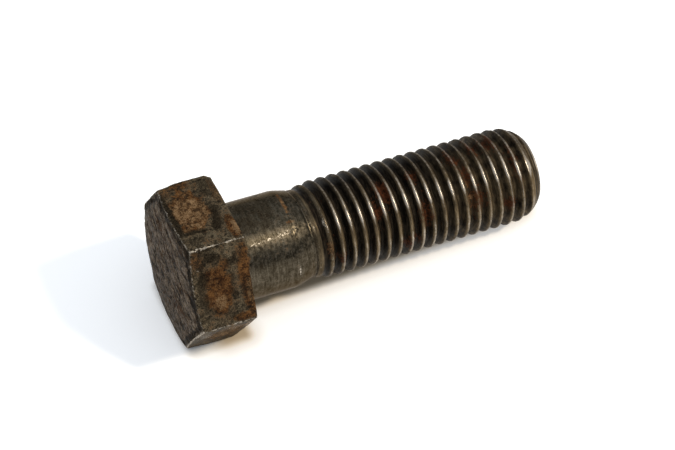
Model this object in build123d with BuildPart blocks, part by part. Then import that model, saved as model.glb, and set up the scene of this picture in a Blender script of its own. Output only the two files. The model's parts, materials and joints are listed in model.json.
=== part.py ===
"""Hex head screw with a plain shank and a coarse right-hand thread, lying as it comes to rest.

The origin is the centre of the bearing face under the head. A station is a distance from there along the
screw's own axis: positive towards the tip, negative into the head. That axis points along +X and dips
towards the tip, because the screw lies on one flat of its head and on its last full crest. Y is level and
Z is up.
"""

import os
from math import atan2, ceil, cos, hypot, pi, radians, sin, sqrt, tan

from build123d import *

# Head, in millimetres and degrees
ACROSS_FLATS = 35.2
HEAD_HEIGHT = 15.0  # bearing face to the middle of the crown
CROWN_RISE = 0.6  # how far the crown stands above its bevel
BEVEL_DIAMETER = 33.0  # circle where the crown meets the bevel
BEVEL_ANGLE = 15.0  # of the bevel that takes off the hexagon's outer corners
CORNER_WEAR = 0.5  # rounding of the corners between the flats
RIM_WEAR = 0.3  # rounding of the flats' edges at the bearing face

# Shank and thread
NOMINAL_DIAMETER = 24.0
SCREW_LENGTH = 80.0  # bearing face to the end of the point
SHANK_LENGTH = 15.0  # bearing face to the end of the full-diameter shank
SEAT_RADIUS = 0.8  # fillet under the head
TAPER_LENGTH = 3.8  # cone from the shank down to the blank that the thread is rolled on
NECK_LENGTH = 1.2  # plain blank before the first ridge
PITCH = 3.0
THREAD_ANGLE = 60.0
CREST_WEAR = 0.15  # taken off the nominal diameter at the crests
RISE_LENGTH = 4.2  # the first crests grow to full height over this length
GROOVE_DELAY = 0.85  # from the foot of that rise to the middle of the first groove
RUNOUT_LENGTH = 3.0  # the first groove sinks to full depth over this length
POINT_LENGTH = 5.7  # lead at the tip: a cone, then a steeper one
POINT_SHOULDER = 1.8  # length of the steeper one
SHOULDER_DIAMETER = 20.4  # where it starts
POINT_DIAMETER = 17.4  # flat end of the point

# Half sizes, and the metric thread's proportions: three eighths of the sharp profile's height lie above the
# pitch line, and the root is seventeen twenty-fourths down
half_flats = ACROSS_FLATS / 2
shank_radius = NOMINAL_DIAMETER / 2
crest_radius = shank_radius - CREST_WEAR / 2
flank_slope = tan(radians(THREAD_ANGLE / 2))
sharp_height = PITCH / 2 / flank_slope
blank_radius = shank_radius - 3 / 8 * sharp_height  # the pitch line: ridge and groove are equally wide
root_radius = shank_radius - 17 / 24 * sharp_height
turn_length = hypot(PITCH, 2 * pi * blank_radius)  # one turn along the pitch line

# Stations
neck_start = SHANK_LENGTH + TAPER_LENGTH
rise_start = neck_start + NECK_LENGTH
groove_start = rise_start + GROOVE_DELAY
point_start = SCREW_LENGTH - POINT_LENGTH

# The screw lies on the bearing-side edge of its lowest flat and on the last full crest
rest_dip = atan2(half_flats - crest_radius, point_start)
along = Vector(cos(rest_dip), 0, -sin(rest_dip))
screw_axis = Axis((0, 0, 0), along)
across_plane = Plane(origin=(0, 0, 0), x_dir=(0, 1, 0), z_dir=along)  # square to the screw's axis
radial_plane = Plane(origin=(0, 0, 0), x_dir=along, z_dir=(0, -1, 0))  # holds it: x station, y radius


def half_groove(radius: float) -> float:
    """Half the width of the thread's groove at a distance from the screw's axis."""
    return PITCH / 4 + (radius - blank_radius) * flank_slope


def runout_radius(station: float) -> float:
    """Radius of the cone along which the first groove sinks from the blank's surface to its root."""
    return blank_radius - (station - groove_start) / RUNOUT_LENGTH * (blank_radius - root_radius)


# Head: a hexagonal prism, cut by a low crown with a bevel round it
with BuildPart() as head:
    with BuildSketch(across_plane):
        RegularPolygon(half_flats, 6, major_radius=False)
    extrude(amount=-HEAD_HEIGHT)
    fillet(head.edges().filter_by(screw_axis), CORNER_WEAR)
    with BuildSketch(radial_plane):
        crown_top = (-HEAD_HEIGHT, 0)
        bevel_top = (CROWN_RISE - HEAD_HEIGHT, BEVEL_DIAMETER / 2)
        past_corners = ACROSS_FLATS / sqrt(3) + PITCH
        bevel_drop = (past_corners - BEVEL_DIAMETER / 2) * tan(radians(BEVEL_ANGLE))
        with BuildLine():
            TangentArc(crown_top, bevel_top, tangent=(0, 1))
            Polyline(
                bevel_top,
                (bevel_top[0] + bevel_drop, past_corners),
                (0, past_corners),
                (0, 0),
                crown_top,
            )
        make_face()
    revolve(axis=screw_axis, mode=Mode.INTERSECT)
    bearing_face = head.faces().sort_by(screw_axis)[-1]
    fillet(bearing_face.edges(), RIM_WEAR)

# Groove: the space between the thread's ridges, in half turns. It starts a turn early, inside the cone that
# it sinks along, and leaves the screw past the tip.
with BuildPart() as groove:
    first_turn = along * (groove_start - PITCH)
    with BuildLine():
        thread_line = Helix(
            pitch=PITCH,
            height=SCREW_LENGTH + 2 * PITCH - groove_start,
            radius=blank_radius,
            center=first_turn,
            direction=along,
        )
    halves = ceil(2 * thread_line.length / turn_length)
    half_turns = [thread_line.trim(i / halves, (i + 1) / halves) for i in range(halves)]
    outward = thread_line @ 0 - first_turn
    with BuildSketch(Plane(origin=first_turn, x_dir=along, z_dir=along.cross(outward))):
        groove_top = crest_radius + PITCH / 12  # clear of the crests, and its turns clear of each other
        with BuildLine():
            Polyline(
                (-half_groove(root_radius), root_radius),
                (-half_groove(groove_top), groove_top),
                (half_groove(groove_top), groove_top),
                (half_groove(root_radius), root_radius),
                close=True,
            )
        make_face()
    sweep(path=Wire(half_turns), is_frenet=True)
    with BuildSketch(radial_plane):
        runout_end = groove_start + 2 * RUNOUT_LENGTH
        with BuildLine():
            Polyline(
                (SHANK_LENGTH, 0),
                (SHANK_LENGTH, runout_radius(SHANK_LENGTH)),
                (runout_end, runout_radius(runout_end)),
                (runout_end, 0),
                close=True,
            )
        make_face()
    revolve(axis=screw_axis, mode=Mode.SUBTRACT)

# Shank: the outline from the head to the tip, with the groove rolled into it
with BuildPart() as shank:
    with BuildSketch(radial_plane):
        inside_head = (-SEAT_RADIUS, shank_radius + SEAT_RADIUS)
        seat_top = (0, shank_radius + SEAT_RADIUS)
        seat_end = (SEAT_RADIUS, shank_radius)
        with BuildLine():
            Line(inside_head, seat_top)
            RadiusArc(seat_top, seat_end, SEAT_RADIUS)
            Polyline(
                seat_end,
                (SHANK_LENGTH, shank_radius),
                (neck_start, blank_radius),
                (rise_start, blank_radius),
                (rise_start + RISE_LENGTH, crest_radius),
                (point_start, crest_radius),
                (SCREW_LENGTH - POINT_SHOULDER, SHOULDER_DIAMETER / 2),
                (SCREW_LENGTH, POINT_DIAMETER / 2),
                (SCREW_LENGTH, 0),
                (-SEAT_RADIUS, 0),
                inside_head,
            )
        make_face()
    revolve(axis=screw_axis)
    add(groove.part, mode=Mode.SUBTRACT)

with BuildPart() as hex_head_screw:
    add(head.part)
    add(shank.part)

hex_head_screw.part.label = "hex_head_screw"
os.makedirs("parts", exist_ok=True)
export_step(hex_head_screw.part, "parts/hex_head_screw.step")
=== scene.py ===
"""An old hex head screw with a coarse thread, lying on a pale floor.

Sizes are in millimetres in the screw's own coordinates: x is the station along its axis, from the bearing
face under the head towards the tip, y is level and z is square to both. Angles round the axis are measured
from +y towards +z, so the upper flat of the head is at 90 degrees.
"""

import json
import logging
import math
from dataclasses import dataclass, field
from enum import Enum

import bpy
import numpy as np
from mathutils import Matrix, Vector, noise


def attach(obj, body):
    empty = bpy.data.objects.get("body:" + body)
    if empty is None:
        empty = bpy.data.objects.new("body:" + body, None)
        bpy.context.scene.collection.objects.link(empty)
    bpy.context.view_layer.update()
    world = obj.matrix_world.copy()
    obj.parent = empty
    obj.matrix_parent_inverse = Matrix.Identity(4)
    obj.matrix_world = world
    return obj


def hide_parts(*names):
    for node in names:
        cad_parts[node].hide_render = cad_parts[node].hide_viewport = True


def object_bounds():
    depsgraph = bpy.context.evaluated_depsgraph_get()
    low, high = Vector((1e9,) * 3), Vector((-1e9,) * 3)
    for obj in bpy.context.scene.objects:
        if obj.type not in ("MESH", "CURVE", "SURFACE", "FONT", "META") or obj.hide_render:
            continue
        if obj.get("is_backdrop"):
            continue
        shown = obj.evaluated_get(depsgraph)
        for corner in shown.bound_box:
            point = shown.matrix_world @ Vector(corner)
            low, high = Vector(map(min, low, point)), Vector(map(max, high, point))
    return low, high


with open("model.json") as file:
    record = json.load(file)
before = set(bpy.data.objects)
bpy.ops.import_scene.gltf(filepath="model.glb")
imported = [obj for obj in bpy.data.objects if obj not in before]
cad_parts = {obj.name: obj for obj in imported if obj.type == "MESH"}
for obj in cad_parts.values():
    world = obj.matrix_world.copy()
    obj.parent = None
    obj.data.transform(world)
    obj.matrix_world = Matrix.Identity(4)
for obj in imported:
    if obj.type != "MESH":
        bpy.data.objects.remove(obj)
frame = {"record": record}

MM = 0.001
logging.basicConfig(level=logging.INFO, format="%(name)s: %(message)s")
log = logging.getLogger("screw")


class Zone(Enum):
    """Parts of the screw's skin that are unwrapped and weathered in their own ways."""

    END_FACE = 0
    FLATS = 1
    BEARING_FACE = 2
    SHANK = 3
    THREAD = 4
    TIP = 5


# ---- What the frame gives ----


@dataclass(frozen=True)
class Stock:
    """The screw's main sizes and its place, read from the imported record."""

    along: Vector
    radius: float
    shank_end: float
    length: float
    half_flats: float

    @classmethod
    def from_record(cls, record: dict) -> "Stock":
        """Works the sizes out from the mounts.

        Args:
            record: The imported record.

        Returns:
            The screw's main sizes, in millimetres.
        """
        mounts = {mount["name"]: mount for mount in record["mounts"]}
        along = Vector(mounts["under_head"]["axis"]).normalized()
        shank = mounts["shank"]
        upper, lower = (Vector(mounts[name]["pos_m"]) for name in ("upper_flat", "lower_flat"))
        return cls(
            along=along,
            radius=shank["dims"]["r_mm"],
            shank_end=Vector(shank["pos_m"]).dot(along) / MM + shank["dims"]["length_mm"] / 2,
            length=Vector(mounts["thread"]["pos_m"]).dot(along) / MM,
            half_flats=(upper - lower).length / MM / 2,
        )

    def matrix(self) -> Matrix:
        """Turns the screw's own coordinates into the row frame."""
        level = Vector((0, 1, 0))
        upward = self.along.cross(level)
        return Matrix((self.along, level, upward)).transposed().to_4x4()


# ---- Shape ----


def eased(value: np.ndarray, low: float, high: float) -> np.ndarray:
    """Smooth step from 0 at low to 1 at high."""
    t = np.clip((value - low) / (high - low), 0, 1)
    return t * t * (3 - 2 * t)


def near(distance: np.ndarray, full: float, none: float) -> np.ndarray:
    """Smooth fall from 1 up to a full distance, either way, to 0 at a greater one."""
    return 1 - eased(np.abs(distance), full, none)


def cyclic(values: tuple[float, ...], angles: np.ndarray) -> np.ndarray:
    """Smooth curve through values that are spread evenly round a full turn."""
    share = (angles / (2 * math.pi) % 1) * len(values)
    index = np.floor(share).astype(int)
    wave = (1 - np.cos(math.pi * (share - index))) / 2
    table = np.array(values)
    return table[index % len(values)] * (1 - wave) + table[(index + 1) % len(values)] * wave


def bend(start: np.ndarray, corner: np.ndarray, end: np.ndarray, steps: int) -> list[np.ndarray]:
    """Points of a smooth bend that leaves start towards corner and arrives at end.

    Args:
        start: (x, r) of each column where the bend starts.
        corner: (x, r) of each column where its two sides would meet.
        end: (x, r) of each column where it ends.
        steps: How many steps it takes.

    Returns:
        The rows of the bend, start and end included.
    """
    rows = []
    for t in np.linspace(0, 1, steps + 1):
        rows.append((1 - t) ** 2 * start + 2 * t * (1 - t) * corner + t**2 * end)
    return rows


def towards(start: np.ndarray, end: np.ndarray, distance: float) -> np.ndarray:
    """The point of each column at a distance from start on the way to end."""
    way = end - start
    return start + way * (distance / np.linalg.norm(way, axis=0))


def straight(start: np.ndarray, end: np.ndarray, steps: int) -> list[np.ndarray]:
    """Rows strictly between start and end."""
    return [start + (end - start) * t for t in np.linspace(0, 1, steps + 1)[1:-1]]


@dataclass(frozen=True)
class HeadShape:
    """Outline of the forged head, from the middle of its end face to the edge of the fillet under it."""

    half_flats: float
    shank_radius: float
    height: float = 15.0
    crown_rise: float = 0.6
    bevel_radius: float = 16.5
    bevel_slope: float = math.tan(math.radians(15))
    corner_rounding: float = 0.5
    seat_radius: float = 0.8
    rim_round: float = 0.45  # how far from its corner the rounding of the crown's rim ends
    bevel_round: float = 0.3  # and that of the edge between bevel and side, on the bevel
    side_round: float = 0.35  # and on the side
    foot_round: float = 0.22  # and that of the edge round the bearing face
    # how far the rim of the end face is set back, every 30 degrees, through a crooked blow and through wear
    set_back: tuple[float, ...] = (0.8, 0.05, 0.0, 0.0, 0.0, 0.0, 0.0, 0.0, 0.25, 0.5, 0.6, 0.8)
    # how far the hexagon's corners stand out towards the bearing face, from 0 degrees on
    swell: tuple[float, ...] = (0.0, 0.62, 0.12, 0.05, 0.35, 0.1)
    knocked_length: float = 1.8  # how far from the bearing face the corners are knocked back again
    knock: float = 1.35  # how many times their swell they are knocked back at the bearing face

    def hexagon(self, angles: np.ndarray) -> np.ndarray:
        """Radius of the rounded hexagon at each angle."""
        off_flat = angles % (math.pi / 3) - math.pi / 6
        plain = self.half_flats / np.cos(off_flat)
        centre = (self.half_flats - self.corner_rounding) / math.cos(math.pi / 6)
        off_corner = math.pi / 6 - np.abs(off_flat)
        inside = np.clip(self.corner_rounding**2 - (centre * np.sin(off_corner)) ** 2, 0, None)
        rounded = centre * np.cos(off_corner) + np.sqrt(inside)
        tangent = math.pi / 6 - math.atan(centre * math.sin(math.pi / 6) / self.half_flats)
        return np.where(off_corner < tangent, rounded, plain)

    def fall(self, angles: np.ndarray, radius: np.ndarray | float) -> np.ndarray:
        """How far the outer end is set back at a place."""
        return cyclic(self.set_back, angles) * (radius / self.half_flats) ** 2

    def stand(self, angles: np.ndarray, station: np.ndarray) -> np.ndarray:
        """How far the head's sides stand out at a place."""
        inward = 1 + station / (self.height - self.crown_rise)
        near_corner = np.cos(3 * angles) ** 6
        knocked = 1 - self.knock * eased(station, -self.knocked_length, 0.0)
        return cyclic(self.swell, angles) * near_corner * eased(inward, 0.0, 0.5) * knocked

    def rows(self, angles: np.ndarray) -> list[tuple[Zone, np.ndarray]]:
        """Rings of the head from just off the middle of the end face to the seat.

        Args:
            angles: Angle of each column.

        Returns:
            The zone and the (x, r) of each ring.
        """
        ones = np.ones_like(angles)
        hexagon = self.hexagon(angles)
        rim = self.crown_rise - self.height
        crown_edge = np.array([rim + self.fall(angles, self.bevel_radius), self.bevel_radius * ones])
        drop = (hexagon - self.bevel_radius) * self.bevel_slope
        shoulder = np.array([rim + drop + self.fall(angles, hexagon), hexagon])
        foot = np.array([0 * ones, hexagon])
        seat = np.array([0 * ones, (self.shank_radius + self.seat_radius) * ones])
        seat_end = np.array([self.seat_radius * ones, self.shank_radius * ones])

        rings: list[tuple[Zone, np.ndarray]] = []
        # the rings lie a little closer together towards the rim
        for part in np.linspace(0, 1, 31)[1:-2] ** 0.8:
            radius = self.bevel_radius * part
            dome = self.crown_rise * (1 - part**2)
            rings.append((Zone.END_FACE, np.array([rim - dome + self.fall(angles, radius), radius * ones])))
        bevel_end = towards(shoulder, crown_edge, self.bevel_round)
        outer = bend(rings[-1][1], crown_edge, towards(crown_edge, shoulder, self.rim_round), 3)[1:]
        outer += straight(outer[-1], bevel_end, 4)
        rings += [(Zone.END_FACE, row) for row in outer]
        side_end = towards(foot, shoulder, self.foot_round)
        side = bend(bevel_end, shoulder, towards(shoulder, foot, self.side_round), 3)
        side += straight(side[-1], side_end, 34)
        side += bend(side_end, foot, towards(foot, seat, self.foot_round), 2)
        side = [np.array([row[0], row[1] + self.stand(angles, row[0])]) for row in side]
        rings += [(Zone.FLATS, row) for row in side]
        under = straight(side[-1], seat, 6)
        under += bend(seat, np.array([0 * ones, self.shank_radius * ones]), seat_end, 3)
        rings += [(Zone.BEARING_FACE, row) for row in under]
        return rings


@dataclass(frozen=True)
class ThreadShape:
    """Outline of the shank and its rolled thread."""

    radius: float
    shank_end: float
    length: float
    taper_length: float = 3.8
    neck_length: float = 1.2
    pitch: float = 3.0
    crest_wear: float = 0.075
    rise_length: float = 4.2
    groove_delay: float = 0.85
    runout_lead: float = 1.2  # the first groove starts to sink this far ahead of its nominal start
    runout_length: float = 1.8  # and is at full depth this far past it
    root_rise: float = 0.12  # how far the bottom of the groove curves up at its sides
    crest_softness: float = 0.15
    point_length: float = 7.0
    point_radius: float = 8.7
    blank_lead: float = 0.6  # the helical rows start this far before the end of the taper
    point_lead: float = 1.4  # and end this far before the end of the point
    slope: float = math.tan(math.radians(30))
    # where the rows run from the groove's middle to the next crest's, each way, as shares of the pitch
    half_phases: tuple[float, ...] = (0.105, 0.19, 0.3, 0.402, 0.447)

    @property
    def phases(self) -> tuple[float, ...]:
        """Where the rows run along one turn, from one crest's middle to the next, as shares of the pitch."""
        return (-0.5, *(-phase for phase in reversed(self.half_phases)), 0.0, *self.half_phases)

    @property
    def blank_radius(self) -> float:
        """Radius of the pitch line, which the neck shares."""
        return self.radius - 3 / 16 * self.pitch / self.slope

    @property
    def root_radius(self) -> float:
        """Radius at the bottom of the groove."""
        return self.radius - 17 / 48 * self.pitch / self.slope

    @property
    def crest_radius(self) -> float:
        """Radius of the worn crests."""
        return self.radius - self.crest_wear

    @property
    def rise_start(self) -> float:
        """Station where the first crests start to rise."""
        return self.shank_end + self.taper_length + self.neck_length

    @property
    def first_row(self) -> float:
        """Station of the ring that the helical rows start from."""
        return self.shank_end + self.taper_length - self.blank_lead

    @property
    def last_row(self) -> float:
        """Station of the ring that the helical rows end at."""
        return self.length - self.point_lead

    def groove(self, angle: float) -> float:
        """Station of the first groove's middle at an angle."""
        return self.rise_start + self.groove_delay + self.pitch * (angle - math.pi / 2) / (2 * math.pi)

    def envelope(self, station: np.ndarray) -> np.ndarray:
        """Radius of the blank before the groove is rolled into it."""
        stations = [0, self.shank_end, self.shank_end + self.taper_length, self.rise_start]
        radii = [self.radius, self.radius, self.blank_radius, self.blank_radius]
        stations.append(self.rise_start + self.rise_length)
        radii.append(self.crest_radius)
        radius = np.interp(station, stations, radii)
        point_start = self.length - self.point_length
        drop = self.crest_radius - self.point_radius
        arc = (self.point_length**2 + drop**2) / (2 * drop)
        along = np.clip(station - point_start, 0, self.point_length)
        return radius - (arc - np.sqrt(arc**2 - along**2))

    def surface(self, station: np.ndarray, angle: float) -> np.ndarray:
        """Radius of the finished thread at stations along one angle."""
        start = self.groove(angle)
        turns = (station - start) / self.pitch
        off = np.abs(turns - np.round(turns)) * self.pitch
        floor = self.root_radius + self.root_rise * eased(off, 0.1, 0.5)
        flank = self.blank_radius + (off - self.pitch / 4) / self.slope
        wall = np.maximum(floor, flank)
        sunk = eased(station, start - self.runout_lead, start + self.runout_length)
        outline = self.envelope(station)
        wall = outline + (wall - outline) * sunk
        # a soft minimum of the two rounds the meeting of crest and flank; the clip keeps exp in range
        gap = np.clip((wall - outline) / self.crest_softness, -40, 40)
        return outline - self.crest_softness * (np.log1p(np.exp(-gap)) - 0.02)


class Skin:
    """The screw's closed surface, built as columns of points that run from the end face to the tip."""

    COLUMNS_PER_FLAT = 42
    CROWDING = 0.55  # how strongly the columns crowd together at the hexagon's corners
    SHOULDER_ROUND = 0.9  # how far from its corner the shank's shoulder is rounded
    POINT_RIM = (0.25, 0.6)  # length and width of the point's rounded rim
    POINT_HOLLOW = 0.35  # depth of the hollow in the point's end
    ROW_GAP = 0.02  # least distance from the helical rows to the rings at both ends

    def __init__(self, head: HeadShape, thread: ThreadShape) -> None:
        """Lays out the columns, closer together at the hexagon's corners."""
        self.head = head
        self.thread = thread
        count = self.COLUMNS_PER_FLAT
        share = np.arange(6 * count) / count
        self.angles = (share - self.CROWDING * np.sin(2 * math.pi * share) / (2 * math.pi)) * math.pi / 3
        self.points: list[tuple[float, float, float]] = []
        self.zones: list[Zone] = []
        self.reach: list[float] = []  # distance along the column's outline, for unwrapping
        self.faces: list[tuple[int, ...]] = []
        self.face_zones: list[Zone] = []
        self.face_wraps: list[bool] = []

    def add_point(self, zone: Zone, station: float, radius: float, angle: float, reach: float) -> int:
        """Adds a point of the surface and returns its index."""
        self.points.append((station, radius * math.cos(angle), radius * math.sin(angle)))
        self.zones.append(zone)
        self.reach.append(reach)
        return len(self.points) - 1

    def add_face(self, corners: tuple[int, ...], zone: Zone, wraps: bool) -> None:
        """Adds a face; wraps tells that it closes the seam from the last column to the first."""
        self.faces.append(corners)
        self.face_zones.append(zone)
        self.face_wraps.append(wraps)

    def shank_rings(self) -> list[tuple[Zone, np.ndarray]]:
        """Rings of the plain shank, its taper and the start of the neck."""
        thread = self.thread
        ones = np.ones_like(self.angles)
        reach = self.SHOULDER_ROUND
        start = np.array([self.head.seat_radius * ones, thread.radius * ones])
        corner = np.array([thread.shank_end * ones, thread.radius * ones])
        taper_end = np.array([(thread.shank_end + thread.taper_length) * ones, thread.blank_radius * ones])
        shoulder = bend(towards(corner, start, reach), corner, towards(corner, taper_end, reach), 4)
        rows = straight(start, shoulder[0], 32) + shoulder
        for station in np.linspace(thread.shank_end + reach, thread.first_row, 7)[1:]:
            rows.append(np.array([station * ones, thread.envelope(station) * ones]))
        return [(Zone.SHANK, row) for row in rows]

    def tip_rings(self) -> list[tuple[Zone, np.ndarray]]:
        """Rings from the last helical row over the end of the point to just off its middle."""
        thread = self.thread
        ones = np.ones_like(self.angles)
        rim_length, rim_width = self.POINT_RIM
        flat = thread.point_radius - rim_width
        rings = []
        for station in np.linspace(thread.last_row, thread.length - rim_length, 15):
            rings.append((Zone.THREAD, np.array([station * ones, thread.envelope(station) * ones])))
        rim = np.array([thread.length * ones, thread.point_radius * ones])
        rolled = bend(rings[-1][1], rim, np.array([thread.length * ones, flat * ones]), 3)[1:]
        for part in np.linspace(1, 0, 9)[1:-1]:
            depth = self.POINT_HOLLOW * eased(1 - part, 0.0, 0.25)
            rolled.append(np.array([(thread.length - depth) * ones, flat * part * ones]))
        rings += [(Zone.TIP, row) for row in rolled]
        return rings

    def build(self) -> None:
        """Builds all points and faces."""
        rings = self.head.rows(self.angles) + self.shank_rings()
        tips = self.tip_rings()
        count = len(self.angles)
        grid_before = self.add_rings(rings, np.zeros(count))
        before_reach = np.array([self.reach[index] for index in grid_before[-1]])
        columns, keys, lengths = self.add_thread(grid_before[-1], before_reach)
        grid_after = self.add_rings(tips, lengths, columns)
        self.cap(rings[0][1], grid_before[0], Zone.END_FACE, True)
        self.cap(tips[-1][1], grid_after[-1], Zone.TIP, False)
        self.skin_rings(grid_before, [zone for zone, _ in rings])
        self.skin_rings(grid_after, [zone for zone, _ in tips])
        self.skin_thread(grid_before[-1], columns, keys, grid_after[0])
        log.info("skin: %d points, %d faces", len(self.points), len(self.faces))

    def add_rings(
        self, rings: list[tuple[Zone, np.ndarray]], reach: np.ndarray, columns: list[list[int]] | None = None
    ) -> list[list[int]]:
        """Adds full rings of points.

        Args:
            rings: The zone and the (x, r) of each ring.
            reach: Distance along the outline that each column has reached before them.
            columns: The points that the rings follow on from, if any.

        Returns:
            The indices of each ring's points.
        """
        grid = []
        last = rings[0][1]
        if columns is not None:
            ends = np.array([self.points[column[-1]] for column in columns]).T
            last = np.array([ends[0], np.hypot(ends[1], ends[2])])
        for zone, ring in rings:
            reach = reach + np.hypot(*(ring - last))
            last = ring
            grid.append([self.add_point(zone, *place) for place in zip(*ring, self.angles, reach)])
        return grid

    def add_thread(self, ring: list[int], reach: np.ndarray) -> tuple[list[list[int]], list[int], np.ndarray]:
        """Adds the points of the thread, in rows that follow its helix.

        Args:
            ring: The last ring before the thread.
            reach: Distance along the outline at that ring.

        Returns:
            Each column's points, the helical row that each column starts with, and the distances reached.
        """
        thread = self.thread
        columns, keys, lengths = [], [], []
        phases = thread.phases
        per_turn = len(phases)
        for j, angle in enumerate(self.angles):
            first_key = None
            column = []
            here = np.array([self.points[ring[j]][0], math.hypot(*self.points[ring[j]][1:])])
            distance = reach[j]
            turns = range(-2, int(thread.length / thread.pitch) + 1)
            numbers = [turn * per_turn + k for turn in turns for k in range(per_turn)]
            places = [phases[number % per_turn] + number // per_turn for number in numbers]
            stations = thread.groove(angle) + thread.pitch * np.array(places)
            radii = thread.surface(stations, angle)
            for number, station, radius in zip(numbers, stations, radii):
                if not thread.first_row + self.ROW_GAP < station < thread.last_row - self.ROW_GAP:
                    continue
                first_key = number if first_key is None else first_key
                there = np.array([station, radius])
                distance += float(np.linalg.norm(there - here))
                here = there
                column.append(self.add_point(Zone.THREAD, station, radius, angle, distance))
            columns.append(column)
            keys.append(first_key)
            lengths.append(distance)
        return columns, keys, np.array(lengths)

    def skin_rings(self, grid: list[list[int]], zones: list[Zone]) -> None:
        """Joins neighbouring rings with faces."""
        count = len(self.angles)
        for row, zone in zip(range(len(grid) - 1), zones[1:]):
            for j in range(count):
                k = (j + 1) % count
                corners = (grid[row][j], grid[row][k], grid[row + 1][k], grid[row + 1][j])
                self.add_face(corners, zone, k == 0)

    def skin_thread(
        self, before: list[int], columns: list[list[int]], keys: list[int], after: list[int]
    ) -> None:
        """Joins the helical rows, which enter and leave a few at a time, with the rings at both ends.

        Args:
            before: The ring at the start of the thread.
            columns: Each column's points.
            keys: The helical row that each column starts with.
            after: The ring at the end of the thread.
        """
        count = len(self.angles)
        per_turn = len(self.thread.phases)
        for j in range(count):
            k = (j + 1) % count
            left, right = columns[j], columns[k]
            left_key, right_key = keys[j], keys[k] - (per_turn if k == 0 else 0)
            start = max(left_key, right_key)
            end = min(left_key + len(left), right_key + len(right)) - 1
            entering = right[: start - right_key + 1]
            staying = left[: start - left_key + 1]
            self.add_face((before[j], before[k], *entering, *staying[::-1]), Zone.SHANK, k == 0)
            for key in range(start, end):
                corners = (
                    left[key - left_key],
                    right[key - right_key],
                    right[key + 1 - right_key],
                    left[key + 1 - left_key],
                )
                self.add_face(corners, Zone.THREAD, k == 0)
            leaving = left[end - left_key :]
            coming = right[end - right_key :]
            corners = (leaving[0], *coming, after[k], after[j], *leaving[:0:-1])
            self.add_face(corners, Zone.THREAD, k == 0)

    def cap(self, ring: np.ndarray, row: list[int], zone: Zone, outward: bool) -> None:
        """Closes a ring with a fan to its middle.

        Args:
            ring: (x, r) of the ring.
            row: Its points.
            zone: Where it lies.
            outward: Whether it faces away from the tip.
        """
        middle = self.add_point(zone, float(np.mean(ring[0])), 0.0, 0.0, self.reach[row[0]])
        count = len(row)
        for j in range(count):
            k = (j + 1) % count
            corners = (middle, row[k], row[j]) if outward else (row[j], row[k], middle)
            self.add_face(corners, zone, k == 0)


# ---- Weathering: dents, pits and masks, worked out at each point ----


class Mask(Enum):
    """What a point's skin is like; each is a number from 0 to 1 that the material reads."""

    # BARE_AND_GLINT is rubbed metal and also painted highlight, GRIME_AND_SHADE is grime and also painted
    # shade, CREASE is painted shade in folds and grooves
    RUST = "rust"
    OCHRE = "ochre"
    GRIME_AND_SHADE = "grime_and_shade"
    BARE_AND_GLINT = "bare_and_glint"
    BROWN = "brown"
    CREASE = "crease"


RUST, OCHRE, GRIME_AND_SHADE, BARE_AND_GLINT, BROWN, CREASE = Mask


@dataclass(frozen=True)
class Patch:
    """A blotch on the surface: a soft ellipse with a ragged outline."""

    mask: Mask
    # station and distance across a flat, y and z on the end face, station and angle on the shank and thread
    place: tuple[float, float]
    size: tuple[float, float]
    strength: float = 1.0
    softness: float = 0.35
    ragged: float = 0.35

    def cover(self, first: np.ndarray, second: np.ndarray, ragged: np.ndarray) -> np.ndarray:
        """How much of the patch each place has.

        Args:
            first: First coordinate of the places.
            second: Second coordinate of the places.
            ragged: Noise about 0 that roughens the outline.

        Returns:
            Cover from 0 to its strength.
        """
        reach = np.hypot((first - self.place[0]) / self.size[0], (second - self.place[1]) / self.size[1])
        reach += ragged * self.ragged
        return self.strength * (1 - eased(reach, 1 - self.softness, 1 + self.softness))


@dataclass(frozen=True)
class Film:
    """A thin cover all over some zones, more or less even."""

    mask: Mask
    zones: tuple[Zone, ...]
    level: float
    uneven: float
    fine: bool = False

    def cover(self, ragged: np.ndarray, fine: np.ndarray) -> np.ndarray:
        """How much of the film each place has, by the coarse or the fine noise there."""
        return self.level + self.uneven * (fine if self.fine else ragged)


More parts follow.
